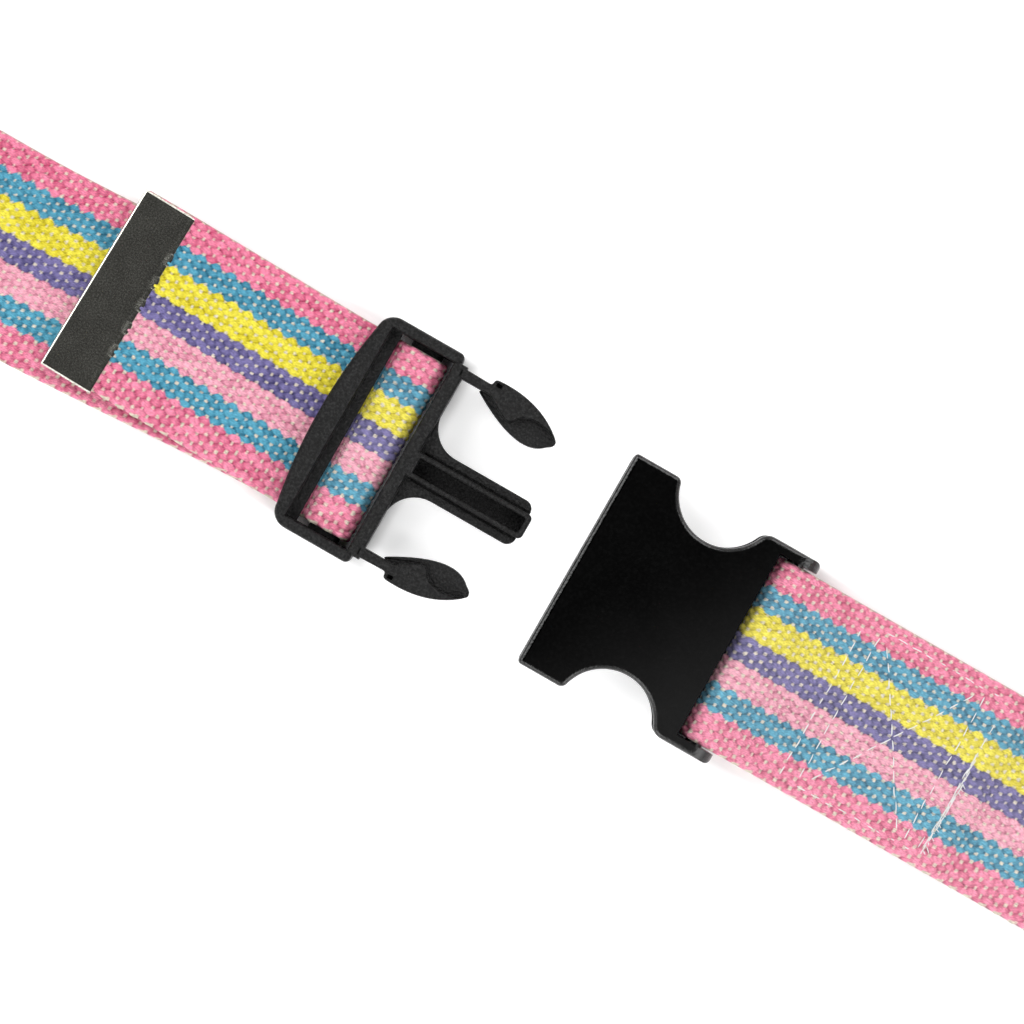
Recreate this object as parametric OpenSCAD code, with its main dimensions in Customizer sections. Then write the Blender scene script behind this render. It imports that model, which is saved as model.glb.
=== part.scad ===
// Gait belt. A woven cotton strap goes round the waist and closes with a side-release
// buckle, shown open. One end of the strap is laced through the buckle's male half and
// ends in a crimped metal tip. The other end is folded round the web bar of the female
// half and sewn to itself.
// X runs along the front of the belt, from the male half to the female half. Y points
// from the front to the back of the waist loop, and Z is up. The belt lies on Z = 0:
// its front lies flat, and the rest of the loop stands on its edge.

/* [Strap] */
// Width of the woven strap
strap_w = 50.8; // [50:0.1:51]
// Thickness of the strap
strap_t = 2.4; // [2.2:0.05:2.4]
// Length of strap from the end of the flat front to the middle of the back
half_round = 567; // [550:1:600]
// Length of strap over which it rolls from flat onto its edge
roll_len = 110; // [90:5:130]
// Place along the half loop where the tight side turn starts to ease
ease_from = 165; // [150:5:190]
// Place along the half loop where the back's gentle curve is reached
ease_to = 310; // [260:10:340]
// Curvature of the back as a share of the side turn's
back_share = 0.2; // [0.15:0.01:0.3]

/* [Laced end] */
// Place of the male half's root plane, where its prongs start
male_x = -28; // [-30:0.5:-27]
// Height of the underside of the tail, above the lower run
tail_z = 2.85; // [2.85:0.05:2.9]
// Place of the metal tip's outer fold
tip_x = -120.2; // [-121:0.1:-115]
// Length of the metal tip along the strap
tip_len = 14.4; // [12:0.1:16]
// Thickness of the tip's sheet metal
tip_sheet = 0.4; // [0.3:0.05:0.4]
// Radius of one crimp
crimp_r = 1.1; // [0.8:0.1:1.4]
// How many crimps close the tip
crimps = 5; // [3:1:7]
// Distance between crimps
crimp_pitch = 6.6; // [5:0.1:7]

/* [Sewn end] */
// Place of the female half's mouth
mouth_x = 18.5; // [18:0.5:22]
// Length of the folded end under the strap, from the web bar
fold_len = 65; // [60:1:70]
// Length of one stitch
stitch_len = 3.1; // [2.5:0.1:4]
// Thickness of the sewing thread
thread_d = 0.7; // [0.5:0.1:0.8]
// Distance between the long sides of the stitched box
box_w = 44; // [40:1:46]

/* [Male half] */
// Length of the frame, from its outer bar to the root plane
frame_len = 26.8; // [26.5:0.1:28]
// Width of the frame
frame_w = 59.2; // [59:0.1:59.4]
// Height of the frame
frame_h = 9.8; // [9.6:0.1:10]
// Width of each side rail
rail_w = 2.9; // [2.6:0.1:3]
// Length of the centre guide
guide_len = 31.2; // [30:0.1:33]
// Width of the centre guide
guide_w = 12.2; // [10:0.1:12.4]

/* [Female half] */
// Width over the ears at the mouth
female_w = 59.4; // [59.2:0.1:60]
// Width over the rear lobes
lobe_w = 57; // [56.6:0.1:58]
// Height of the female half
female_h = 12.4; // [12.4:0.1:12.8]
// Thickness of its top and bottom plates
plate_t = 2.2; // [2:0.1:2.2]
// Length from the mouth to the plates' rear edge
plate_len = 43.1; // [43:0.1:43.2]
// Distance from the mouth to the web bar
web_bar_x = 48; // [48:0.1:48.4]
// Radius of the web bar
web_bar_r = 2.3; // [2:0.1:2.3]
// Radius of the finger cut-outs
finger_r = 12.5; // [11:0.1:13]
// Distance from the centre line to a finger cut-out's centre
finger_y = 31.6; // [31:0.1:33]

/* [Hidden] */

$fn = 48;
black = "#1b1b1d";
nickel = "#8d8f94";
pink = "#ee86a8";
teal = "#4a9ab8";
purple = "#6f63a6";
yellow = "#f2e33a";
thread_white = "#f1efe9";
gap = 0.05;                        // play between the strap and a bar it wraps

// Waist loop, from the end of the flat front (s = 0) to the middle of the back
loop_steps = 52;
loop_ds = half_round / loop_steps;
function smooth(a, b, v) = let (u = min(1, max(0, (v - a) / (b - a)))) u * u * (3 - 2 * u);
function roll(s) = 90 * smooth(0, roll_len, s);
function curvature(s) = pow(sin(roll(s)), 3) * (1 - (1 - back_share) * smooth(ease_from, ease_to, s));
function running_sum(list) = [for (i = 0, sum = 0; i <= len(list);
    sum = sum + (i < len(list) ? list[i] : 0), i = i + 1) sum];
turns = running_sum([for (i = [0:loop_steps - 1]) curvature((i + 0.5) * loop_ds)]);
// Heading at each step, scaled so that the half loop turns by half a circle
headings = [for (turn = turns) 180 * turn / turns[loop_steps]];
function step_heading(i) = (headings[i] + headings[i + 1]) / 2;
loop_dx = running_sum([for (i = [0:loop_steps - 1]) loop_ds * cos(step_heading(i))]);
loop_y = running_sum([for (i = [0:loop_steps - 1]) loop_ds * sin(step_heading(i))]);
flat_x = -loop_dx[loop_steps];     // half length of the flat front
back_y = loop_y[loop_steps];       // from the front's centre line to the back's

// The front's centre line lies at this Y, so that the origin is the middle of the belt
front_y = (female_w / 2 - back_y - strap_t / 2) / 2;

// Male half: middle bar, outer bar and guide, X from the root plane
mid_bar_r = 1.6;
mid_bar_z = strap_t + gap + mid_bar_r;
mid_bar_x = [-13.6, -8.2];         // centres of its two round edges
wrap_r = mid_bar_r + gap + strap_t / 2;
root_bar_w = 3.6;
outer_bar_in = 5.8 - frame_len;    // its inner face, 5.8 in from its outer one
outer_bar_bow = 2.3;
outer_bar_z = 5.5;
ledge_w = 2.8;                     // lip along the foot of the outer bar's inner face
rail_end = -1.8;                   // the rails stop short of the root plane
guide_z = [4.6, 7.8];
rib_w = 6.7;
rib_wall = 1.25;
gusset_r = 8.5;
prong_z = [2.6, 9.8];
prong_pin = [1.45, 25.4];          // the prong's root, which it flexes about
prong_root_r = 1.4;

// Female half, X from the mouth
mid_z = female_h / 2;
lip = 1.4;                         // how far the bottom plate's lip reaches past the top
ledge_x = 7.6;                     // the catch that a prong's shoulder drops behind
finger_x = 25.4;
web_x = mouth_x + web_bar_x;       // the web bar's place on the belt
web_wrap_r = web_bar_r + gap + strap_t / 2;

// Sewn end: the strap's own heights where it lies double and where it lies single
single_z = strap_t / 2;
double_z = 1.5 * strap_t + 0.02;
lap_x = web_x + 20;                // the two layers meet here
fold_x = web_x + fold_len;         // the folded end's raw edge
down_x = fold_x + 7;               // the strap is down on one layer here
row_x = web_x + 22.5;
box_x = [web_x + 27.3, web_x + 57.3];
tack_x = web_x + 62.8;
stitch_pitch = stitch_len * 1.3;
stitch_z = double_z + strap_t / 2;

// Points along a round arc in a plane
function arc(c, r, a0, a1, n = 12) =
    [for (i = [0:n]) let (a = a0 + (a1 - a0) * i / n) c + r * [cos(a), sin(a)]];
// Points along a curve from p to q that is pulled towards a control point
function pull(p, c, q, n = 10) =
    [for (i = [0:n]) let (u = i / n) (1 - u) * (1 - u) * p + 2 * u * (1 - u) * c + u * u * q];
// Points along a smooth step from p to q that is level at both ends
function step(p, q, n = 10) =
    [for (i = [0:n]) let (u = i / n) [p[0] + (q[0] - p[0]) * u,
                                      p[1] + (q[1] - p[1]) * smooth(0, 1, u)]];
// Unit normal of a centre line at point i
function side(c, i) = let (d = c[min(i + 1, len(c) - 1)] - c[max(i - 1, 0)]) [-d[1], d[0]] / norm(d);

// A strap seen from its edge: a centre line in X and Z, given its thickness and width
module strap_along(c, w = strap_w, t = strap_t) {
    outline = concat([for (i = [0:len(c) - 1]) c[i] + side(c, i) * t / 2],
                     [for (i = [len(c) - 1:-1:0]) c[i] - side(c, i) * t / 2]);
    translate([0, w / 2, 0]) rotate([90, 0, 0]) linear_extrude(w) polygon(outline);
}

// A plan outline raised between two heights
module raised(z) {
    translate([0, 0, z[0]]) linear_extrude(z[1] - z[0]) children();
}

// Places a front piece on the belt's centre line, at a distance along it
module on_front(x = 0) {
    translate([x, front_y, 0]) children();
}

// One ring of the strap's section: a centre, a heading and a roll onto its edge
function ring(c, heading, roll_angle) = let (
    inward = [-sin(heading), cos(heading), 0],
    wide = inward * cos(roll_angle) + [0, 0, sin(roll_angle)],
    thick = [0, 0, cos(roll_angle)] - inward * sin(roll_angle),
    w = strap_w / 2, t = strap_t / 2, e = 0.5,
    middle = [c[0], c[1], w * sin(roll_angle) + t * cos(roll_angle)])
    [for (p = [[-w, -t + e], [-w, t - e], [-w + e, t], [w - e, t],
               [w, t - e], [w, -t + e], [w - e, -t], [-w + e, -t]])
     middle + wide * p[0] + thick * p[1]];

// A closed skin over a row of rings
module skin(rings) {
    m = len(rings[0]);
    n = len(rings);
    points = [for (r = rings) for (p = r) p];
    start = [[for (j = [0:m - 1]) j]];
    end = [[for (j = [m - 1:-1:0]) (n - 1) * m + j]];
    sides = [for (i = [0:n - 2]) for (j = [0:m - 1])
             let (a = i * m + j, b = i * m + (j + 1) % m)
             each [[a, a + m, b + m], [a, b + m, b]]];
    polyhedron(points, concat(start, sides, end), convexity = 10);
}

// Straight run under the male half and the tail, then the whole waist loop
module webbing_loop() {
    right = [for (i = [0:loop_steps])
             ring([flat_x + loop_dx[i], front_y + loop_y[i]], headings[i], roll(i * loop_ds))];
    left = [for (i = [loop_steps - 1:-1:0])
            ring([-flat_x - loop_dx[i], front_y + loop_y[i]], -headings[i], roll(i * loop_ds))];
    under = [for (x = [-flat_x / 2, male_x + mid_bar_x[1] - 0.5]) ring([x, front_y], 0, 0)];
    color(pink) skin(concat(right, left, under));
}

// Up round the middle bar, over it and steeply down its far side to the tail's level
module webbing_bar_wrap() {
    bar = [mid_bar_x[1], mid_bar_z];
    far = [mid_bar_x[0], mid_bar_z];
    tail_mid = tail_z + strap_t / 2;
    leave = 150;                   // angle round the far edge where the strap leaves it
    down = far + wrap_r * [cos(leave), sin(leave)];
    foot = [down[0] - (down[1] - tail_mid) / tan(leave - 90), tail_mid];
    c = concat([bar + [-0.4, -wrap_r]], arc(bar, wrap_r, -90, 90, 16),
               arc(far, wrap_r, 90, leave - 8, 7), pull(down, foot, foot - [1.7, 0], 8),
               [[outer_bar_in - 0.2, tail_mid]]);
    on_front(male_x) color(teal) strap_along(c);
}

// Tail lying on the lower run, from the outer bar into the metal tip
module webbing_tail() {
    z = tail_z + strap_t / 2;
    on_front() color(yellow) strap_along([[male_x + outer_bar_in - 0.6, z],
                                             [tip_x + tip_sheet + strap_t / 2 + gap, z]]);
}

// Sheet metal folded over the tail's end and crimped
module tail_tip() {
    z = tail_z + strap_t / 2;
    half = strap_t / 2 + tip_sheet;
    c = concat([[tip_len, z + half - tip_sheet / 2]],
               arc([half, z], half - tip_sheet / 2, 90, 270, 12),
               [[tip_len - 0.6, z - half + tip_sheet / 2]]);
    on_front(tip_x) color(nickel) {
        strap_along(c, strap_w - 0.6, tip_sheet);
        for (i = [0:crimps - 1])
            translate([tip_len, (i - (crimps - 1) / 2) * crimp_pitch, z + half])
                difference() {
                    sphere(r = crimp_r);
                    translate([-2, -2, -2 - tip_sheet]) cube([4, 4, 2]);
                }
    }
}

// Strap from the waist loop, over the folded end and round the web bar
module webbing_sewn_end() {
    bar = [web_x, mid_z];
    c = concat([[flat_x - 0.4, single_z]],
               step([down_x, single_z], [fold_x + 0.6, double_z], 8),
               step([lap_x, double_z], [web_x + 0.6, mid_z + web_wrap_r], 12),
               arc(bar, web_wrap_r, 90, 270, 20),
               step([web_x + 0.6, mid_z - web_wrap_r], [web_x + 9, single_z], 6));
    on_front() color(purple) strap_along(c);
}

// Folded end under the strap, sewn to it
module webbing_folded_end() {
    on_front() color(pink) strap_along([[web_x + 9.3, single_z], [fold_x, single_z]]);
}

// A row of stitches from p to q, lying on the strap
module stitches(p, q, pitch = stitch_pitch, long = stitch_len) {
    run = norm(q - p);
    count = round(run / pitch);
    for (i = [0:count - 1])
        on_front() translate(concat(p + (q - p) * (i + 0.5) / count, stitch_z))
            rotate(atan2(q[1] - p[1], q[0] - p[0]))
                translate([-long / 2, -thread_d / 2, 0]) cube([long, thread_d, thread_d * 0.6]);
}

// Box stitching: two long sides that run on to the bar-tack, and two short ones
module box_stitching() {
    color(thread_white) {
        for (y = [-box_w / 2, box_w / 2]) stitches([box_x[0], y], [tack_x - 1.5, y]);
        for (x = box_x) stitches([x, 1.2 - box_w / 2], [x, box_w / 2 - 1.2]);
    }
}

// Two diagonals inside the box
module cross_stitching() {
    inset = 2.5;
    color(thread_white) for (s = [-1, 1])
        stitches([box_x[0] + inset, s * (box_w / 2 - inset)],
                 [box_x[1] - inset, -s * (box_w / 2 - inset)]);
}

// Single row across the strap, next to the web bar
module row_stitching() {
    color(thread_white) stitches([row_x, 1 - strap_w / 2], [row_x, strap_w / 2 - 1]);
}

// Bar-tack: short stitches side by side across the strap
module bar_tack() {
    count = 46;
    color(thread_white) for (i = [0:count - 1])
        on_front() translate([tack_x - 1.1, (i - (count - 1) / 2) * box_w / count - 0.3, stitch_z])
            cube([2.2, 0.6, 0.5]);
}

// Plan outline of the frame, with rounded rear corners and a bowed outer bar
module frame_plan() {
    w = frame_w / 2;
    r = 4.5;
    rear = -frame_len + outer_bar_bow;
    bow_r = (pow(w - r, 2) + pow(outer_bar_bow, 2)) / (2 * outer_bar_bow);
    bow_a = asin((w - r) / bow_r);
    polygon(concat([[rail_end, -w + 1.5], [rail_end - 1.5, -w]],
                   arc([rear + r, -w + r], r, 270, 180, 8),
                   arc([-frame_len + bow_r, 0], bow_r, 180 + bow_a, 180 - bow_a, 16),
                   arc([rear + r, w - r], r, 180, 90, 8),
                   [[rail_end - 1.5, w], [rail_end, w - 1.5]]));
}

// Frame of the male half: two rails, an outer bar, a middle bar and a root bar
module male_bars() {
    inner = frame_w / 2 - rail_w;
    raised([0, frame_h]) difference() {
        frame_plan();
        translate([-60, -inner]) square([60 - root_bar_w, 2 * inner]);
        translate([-root_bar_w - 1, -inner]) square([20, 2 * inner]);
    }
    raised([outer_bar_z, frame_h]) intersection() {
        frame_plan();
        translate([-60, -inner - 0.1]) square([60 + outer_bar_in, 2 * inner + 0.2]);
    }
    raised([outer_bar_z, outer_bar_z + 1.2])
        translate([outer_bar_in - 0.1, -inner - 0.1]) square([ledge_w + 0.1, 2 * inner + 0.2]);
    raised([0.8, frame_h])
        translate([-root_bar_w, -inner - 0.1]) square([root_bar_w, 2 * inner + 0.2]);
    for (x = mid_bar_x) translate([x, inner + 0.5, mid_bar_z])
        rotate([90, 0, 0]) cylinder(r = mid_bar_r, h = 2 * inner + 1);
    translate([mid_bar_x[0], -inner - 0.5, mid_bar_z - mid_bar_r])
        cube([mid_bar_x[1] - mid_bar_x[0], 2 * inner + 1, 2 * mid_bar_r]);
}

// Centre guide with its raised U-shaped rib, on two gussets
module centre_guide() {
    g = guide_w / 2;
    tip_r = 3;
    raised(guide_z) polygon(concat([[-1, -g - gusset_r]],
        arc([gusset_r, -g - gusset_r], gusset_r, 180, 90, 10),
        arc([guide_len - tip_r, -g + tip_r], tip_r, -90, 0, 8),
        arc([guide_len - tip_r, g - tip_r], tip_r, 0, 90, 8),
        arc([gusset_r, g + gusset_r], gusset_r, -90, -180, 10),
        [[-1, g + gusset_r]]));
    raised([guide_z[1] - 0.5, frame_h]) difference() {
        rib_plan(rib_w / 2, guide_len + 0.5);
        rib_plan(rib_w / 2 - rib_wall, guide_len - rib_wall + 0.3);
    }
}

// Plan of the rib: straight sides and a round nose
module rib_plan(w, tip) {
    translate([-0.5, -w]) square([tip - w + 0.5, 2 * w]);
    translate([tip - w, 0]) circle(r = w);
}

module male_frame() {
    on_front(male_x) color(black) {
        male_bars();
        centre_guide();
    }
}

// One springy prong: a slim arm that ends in a barbed head
module prong() {
    color(black) {
        raised(prong_z) polygon(concat(
            [[prong_pin[0], 24.05], [prong_pin[0], 26.75], [7.4, 26.55], [8, 28.1]],
            pull([8.4, 28.1], [20.5, 29.1], [28.1, 22.1]),
            pull([28.1, 22.1], [28.4, 20.4], [26.1, 19.7], 5),
            pull([26.1, 19.7], [20.8, 14.2], [6.3, 23.9])));
        raised(prong_z) translate(prong_pin) circle(r = prong_root_r);
    }
}

module left_prong() {
    on_front(male_x) prong();
}

module right_prong() {
    on_front(male_x) mirror([0, 1, 0]) prong();
}

// Plan of the female half's plates: two ears, a waist and the rear
module plate_plan(front) {
    ear = female_w / 2;
    rear = lobe_w / 2;
    difference() {
        union() {
            translate([front, -ear]) square([finger_x - front, 2 * ear]);
            translate([finger_x - 1, -rear]) square([plate_len - finger_x + 1, 2 * rear]);
        }
        for (s = [-1, 1]) translate([finger_x, s * finger_y]) circle(r = finger_r, $fn = 96);
    }
}

// Ear walls that close the sides of the mouth and hold the prongs' shoulders
module ear_walls() {
    ear = female_w / 2;
    ear_end = finger_x - sqrt(pow(finger_r, 2) - pow(finger_y - ear, 2));
    raised([plate_t - 0.1, female_h - plate_t + 0.1]) for (s = [-1, 1]) {
        translate([lip, s * (ear - 0.4) - 0.4]) square([ear_end - lip, 0.8]);
        translate([lip, s * (ear - 0.9) - 0.45]) square([ledge_x - lip, 0.9]);
    }
}

// Rear lobes and the web bar between them
module web_end() {
    lobe_t = lobe_w / 2 - strap_w / 2 - 0.3;
    lobe_end = 53.7;
    for (s = [-1, 1]) {
        y = s > 0 ? strap_w / 2 + 0.3 : -lobe_w / 2;
        translate([38, y, 0]) cube([lobe_end - mid_z - 38, lobe_t, female_h]);
        translate([lobe_end - mid_z, y, mid_z]) rotate([-90, 0, 0]) cylinder(r = mid_z, h = lobe_t);
    }
    translate([web_bar_x, -strap_w / 2 - 0.8, mid_z])
        rotate([-90, 0, 0]) cylinder(r = web_bar_r, h = strap_w + 1.6);
}

module female_half() {
    rear = lobe_w / 2;
    on_front(mouth_x) color(black) {
        raised([0, plate_t]) plate_plan(0);
        raised([female_h - plate_t, female_h]) plate_plan(lip);
        ear_walls();
        translate([plate_len - 2, -rear, plate_t - 0.1]) cube([2, 2 * rear, female_h - 2 * plate_t + 0.2]);
        for (s = [-1, 1])
            translate([8, s * 7.3 - 0.6, plate_t - 0.1]) cube([plate_len - 9, 1.2, 1.9]);
        web_end();
    }
}

male_frame();
left_prong();
right_prong();
female_half();
webbing_loop();
webbing_bar_wrap();
webbing_tail();
webbing_sewn_end();
webbing_folded_end();
tail_tip();
box_stitching();
cross_stitching();
row_stitching();
bar_tack();
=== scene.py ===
import math

import bpy
import numpy as np
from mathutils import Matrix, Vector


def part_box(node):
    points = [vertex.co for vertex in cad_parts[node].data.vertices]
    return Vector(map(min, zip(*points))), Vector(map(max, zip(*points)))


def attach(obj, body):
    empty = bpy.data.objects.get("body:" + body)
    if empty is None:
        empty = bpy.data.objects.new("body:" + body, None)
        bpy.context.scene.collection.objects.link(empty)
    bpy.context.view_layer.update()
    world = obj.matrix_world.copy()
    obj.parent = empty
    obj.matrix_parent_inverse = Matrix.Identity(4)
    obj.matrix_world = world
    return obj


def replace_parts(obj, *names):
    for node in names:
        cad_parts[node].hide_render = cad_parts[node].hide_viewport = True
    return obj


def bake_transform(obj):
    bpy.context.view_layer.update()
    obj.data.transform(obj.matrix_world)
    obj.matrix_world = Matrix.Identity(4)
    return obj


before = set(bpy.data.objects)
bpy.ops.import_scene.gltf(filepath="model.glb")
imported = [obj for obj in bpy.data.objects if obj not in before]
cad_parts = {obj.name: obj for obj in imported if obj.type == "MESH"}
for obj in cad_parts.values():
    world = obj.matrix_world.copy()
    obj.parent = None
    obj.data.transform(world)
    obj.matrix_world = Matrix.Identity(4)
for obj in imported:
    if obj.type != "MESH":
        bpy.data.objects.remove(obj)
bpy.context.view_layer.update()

# ---------------------------------------------------------------------------
# The belt as it lies: its front runs along X, its waist loop lies behind it. Lengths are
# in millimetres until a mesh is written. The camera looks straight down on the buckle.
# ---------------------------------------------------------------------------
MM = 0.001


def low_high(node):
    """A CAD node's lowest and highest corners in millimetres."""
    low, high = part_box(node)
    return np.array(low) / MM, np.array(high) / MM


# The front's centre line, the plane the guide springs from, the mouth of the female half, the
# folded edge of the metal tip, and where the flat front meets the waist loop
strap_low, strap_high = low_high("webbing_tail")
front_y = (strap_low[1] + strap_high[1]) / 2
frame_len = 26.8
root_x = low_high("male_frame")[0][0] + frame_len
mouth_x = low_high("female_half")[0][0]
tip_x = low_high("tail_tip")[0][0]
sewn_end_gap = 0.4
flat_x = low_high("webbing_sewn_end")[1][0] + sewn_end_gap

camera_height = 950
view_width = 254
view_plane = 5
view_turn = 29.8
view_middle = (-0.9, 1.75)
sensor = 36
camera = bpy.data.objects.new("camera", bpy.data.cameras.new("camera"))
camera.location = (view_middle[0] * MM, (front_y + view_middle[1]) * MM, camera_height * MM)
camera.rotation_euler = (0, 0, math.radians(view_turn))
camera.data.sensor_width = sensor
camera.data.lens = sensor * (camera_height - view_plane) / view_width
bpy.context.collection.objects.link(camera)
bpy.context.scene.camera = camera

# ---------------------------------------------------------------------------
# Strap: two-inch cotton webbing, a plain weave of 46 coloured warp ends in seven stripes
# over a cream weft. It is woven flat, so a fold keeps each stripe on its own side.
# ---------------------------------------------------------------------------
strap_w = 50.8
strap_t = 2.4
core = 0.92           # half the thickness, without the yarns' relief
round_edge = 1.2
pick = 2.135          # from one weft thread to the next
reed_pull = 0.15      # how far each end is drawn towards its partner
# Stripes from the edge nearer the back: width, warp ends, shaded colour, lit colour
stripes = [(7.8, 7, (202, 72, 112), (252, 142, 174)),
           (6.0, 6, (30, 104, 134), (90, 170, 198)),
           (7.6, 7, (208, 190, 12), (250, 236, 76)),
           (6.6, 6, (66, 60, 110), (128, 120, 174)),
           (7.2, 7, (212, 122, 150), (255, 182, 200)),
           (6.5, 6, (30, 106, 136), (92, 174, 202)),
           (9.1, 7, (206, 82, 120), (254, 150, 180))]
weft_colour = (232, 222, 200)
light_on_strap = 1.43


def linear(colour):
    """Linear light of an sRGB colour given from 0 to 255: the sRGB curve, channel by channel."""
    c = np.asarray(colour, float) / 255
    return np.where(c <= 0.04045, c / 12.92, ((c + 0.055) / 1.055) ** 2.4)


def warp_ends():
    """Middle, width and the shaded and lit colours of each warp end, between which its shade is
    painted: a stripe's width shared evenly among its ends, each end then drawn a little towards
    its partner, as the reed leaves them in pairs."""
    edge = strap_w / 2
    middles, widths, dark, bright = [], [], [], []
    for width, count, shade, lit in stripes:
        for n in range(count):
            widths.append(width / count)
            middles.append(edge - (n + 0.5) * width / count)
            dark.append(linear(shade))
            bright.append(linear(lit))
        edge -= width
    middles = np.array(middles)
    pair = np.where(np.arange(len(middles)) % 2 == 0, -reed_pull, reed_pull)
    return middles + pair, np.array(widths), np.array(dark), np.array(bright)


end_v, end_w, end_painted_shade, end_painted_light = warp_ends()


def smooth(a, b, v):
    """Smooth step from 0 at a to 1 at b: u squared times (3 - 2u)."""
    u = np.clip((np.asarray(v, float) - a) / (b - a), 0, 1)
    return u * u * (3 - 2 * u)


def speck(a, b, seed):
    """A fixed number from 0 to 1 for each pair of whole numbers: the fraction of a large sine."""
    return np.mod(np.sin(a * 12.9898 + b * 78.233 + seed * 37.719) * 43758.5453, 1.0)


def weave(u, v, face, wear_and_painted_light):
    """Height and colour of the cloth at u along and v across it, on one face. A warp end rides
    a cosine over two picks with a round back; the weft rides the opposite cosine between the
    ends, raised by the given wear. The higher of the two is what shows, no deeper than a floor
    between the yarns. Each yarn is painted darker where it dips and lighter on its crest, as
    painted shade and highlight, and darker still deep between the yarns, as painted shade. One
    edge shows the weft's turns; the other is closed by a cream catch cord, painted darker there
    as painted shade."""
    v = v + 0.1 * np.sin(u / 23.0 + 1.7) * np.cos(v / 9.0) + 0.05 * np.sin(u / 6.1 + v)
    u = u + 0.16 * np.sin(v / 7.0 + u / 31.0) + 0.1 * np.sin(u / 5.3 + v / 3.1)
    side = 0 if face > 0 else 1
    near = np.abs(v[..., None] - end_v).argsort(axis=-1)[..., :2]
    height = np.full(v.shape, -9.0)
    colour = np.zeros(v.shape + (3,))
    for n in range(2):
        end = near[..., n]
        crest = 2 * np.round((u / pick - end - side) / 2) + end + side
        lift = speck(end, crest, 1.0) - 0.5
        across = v - end_v[end] - 0.07 * (speck(end, crest, 2.0) - 0.5)
        back = 1.0 * end_w[end] / 1.09
        round_back = np.sqrt(np.maximum(back * back - across * across, 0)) - back
        wave = np.cos(np.pi * (u / pick - end - side))
        z = 0.25 * wave + 0.07 * lift + round_back
        # Painted shade and highlight: each warp end's colour runs from its shaded to its lit
        # colour with its height over the weft and across its round back, plus a random lift for
        # each float.
        lit = np.clip(0.56 + 0.44 * wave + 1.0 * round_back + 0.7 * lift, 0, 1)[..., None]
        shown = z > height
        tint = end_painted_shade[end] * (1 - lit) + end_painted_light[end] * lit
        height = np.where(shown, z, height)
        colour = np.where(shown[..., None], tint, colour)
    order = np.interp(-v, -end_v, np.arange(len(end_v)))
    row = np.round(u / pick)
    away = u - row * pick
    wave = np.cos(np.pi * (order + side - row + 1))
    dot = speck(np.round(order), row, 5.0)
    z = 0.2 * wave - 0.1 - 0.14 * dot + np.sqrt(np.maximum(0.2 - away * away, 0)) - 0.447 + wear_and_painted_light
    shown = z > height
    cream = (1 - 0.35 * dot[..., None]) * linear(weft_colour) + 0.35 * dot[..., None] * colour
    height = np.where(shown, z, height)
    # Painted shade: the weft is painted darker where it dips under the warp.
    colour = np.where(shown[..., None], cream * (0.8 + 0.2 * wave[..., None]), colour)
    # Painted shade: where the cloth sinks deep between the yarns its colour is darkened by up to
    # 78%.
    hollow = smooth(-0.16, -0.42, height)[..., None]
    colour = colour * (1 - 0.78 * hollow)
    turn = np.cos(np.pi * (u / pick - 0.5)) * np.sign(v)
    rim = smooth(24.75, 25.2, np.abs(v))
    loose = np.where(v < 0, 0.08 + 0.3 * speck(np.round(u / pick / 2 - 0.25), 3, 8.0), 0.1)
    height = height * (1 - rim) + rim * (loose * turn + 0.05)
    loops = ((turn > 0.3) & (v < -24.7))[..., None]
    colour = np.where(loops, linear(weft_colour) * 0.95, colour)
    # The +Y edge gets the cream catch cord, painted darker (0.62 to 0.74 of the weft colour) as
    # painted shade on that edge.
    cord_and_painted_shade = smooth(24.85, 25.15, v)[..., None]
    colour = colour * (1 - cord_and_painted_shade) + cord_and_painted_shade * linear(weft_colour) * (0.62 + 0.12 * turn[..., None])
    return np.maximum(height, -0.5), colour


def across_strap(per_end):
    """Places across the strap, from its -Y edge to its +Y edge, with so many to each end."""
    edges = np.concatenate([[strap_w / 2], strap_w / 2 - np.cumsum(end_w)])
    fine = np.arange(len(end_w) * per_end + 1) / per_end
    return np.interp(fine, np.arange(len(edges)), edges)[::-1]


def along(points, wide):
    """Frames along a centre line: its running length, its points, the direction across the
    strap, and the direction of its outer face, which is travel crossed with across."""
    points = np.asarray(points, float)
    travel = np.gradient(points, axis=0)
    travel /= np.linalg.norm(travel, axis=1, keepdims=True)
    wide = wide - travel * np.sum(wide * travel, axis=1, keepdims=True)
    wide /= np.linalg.norm(wide, axis=1, keepdims=True)
    steps = np.linalg.norm(np.diff(points, axis=0), axis=1)
    return np.concatenate([[0], np.cumsum(steps)]), points, wide, np.cross(travel, wide)


def mesh_object(name, points, faces):
    """An object at the origin, with its mesh made from points in millimetres and faces."""
    mesh = bpy.data.meshes.new(name)
    mesh.from_pydata((np.reshape(points, (-1, 3)) * MM).tolist(), [], faces)
    mesh.update()
    obj = bpy.data.objects.new(name, mesh)
    bpy.context.collection.objects.link(obj)
    return obj


def shell(name, points):
    """A mesh object over a grid of points, rings by points in a ring. Each ring is closed, and
    each end gets a face. Ring order and row order together make the faces look outwards."""
    rows, ring = points.shape[:2]
    i, j = np.meshgrid(np.arange(rows - 1), np.arange(ring), indexing="ij")
    k = (j + 1) % ring
    quads = np.stack([i * ring + j, (i + 1) * ring + j, (i + 1) * ring + k, i * ring + k], axis=-1)
    faces = quads.reshape(-1, 4).tolist()
    faces.append(list(range(ring)))
    faces.append(list(range(rows * ring - 1, (rows - 1) * ring - 1, -1)))
    return mesh_object(name, points, faces)


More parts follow.
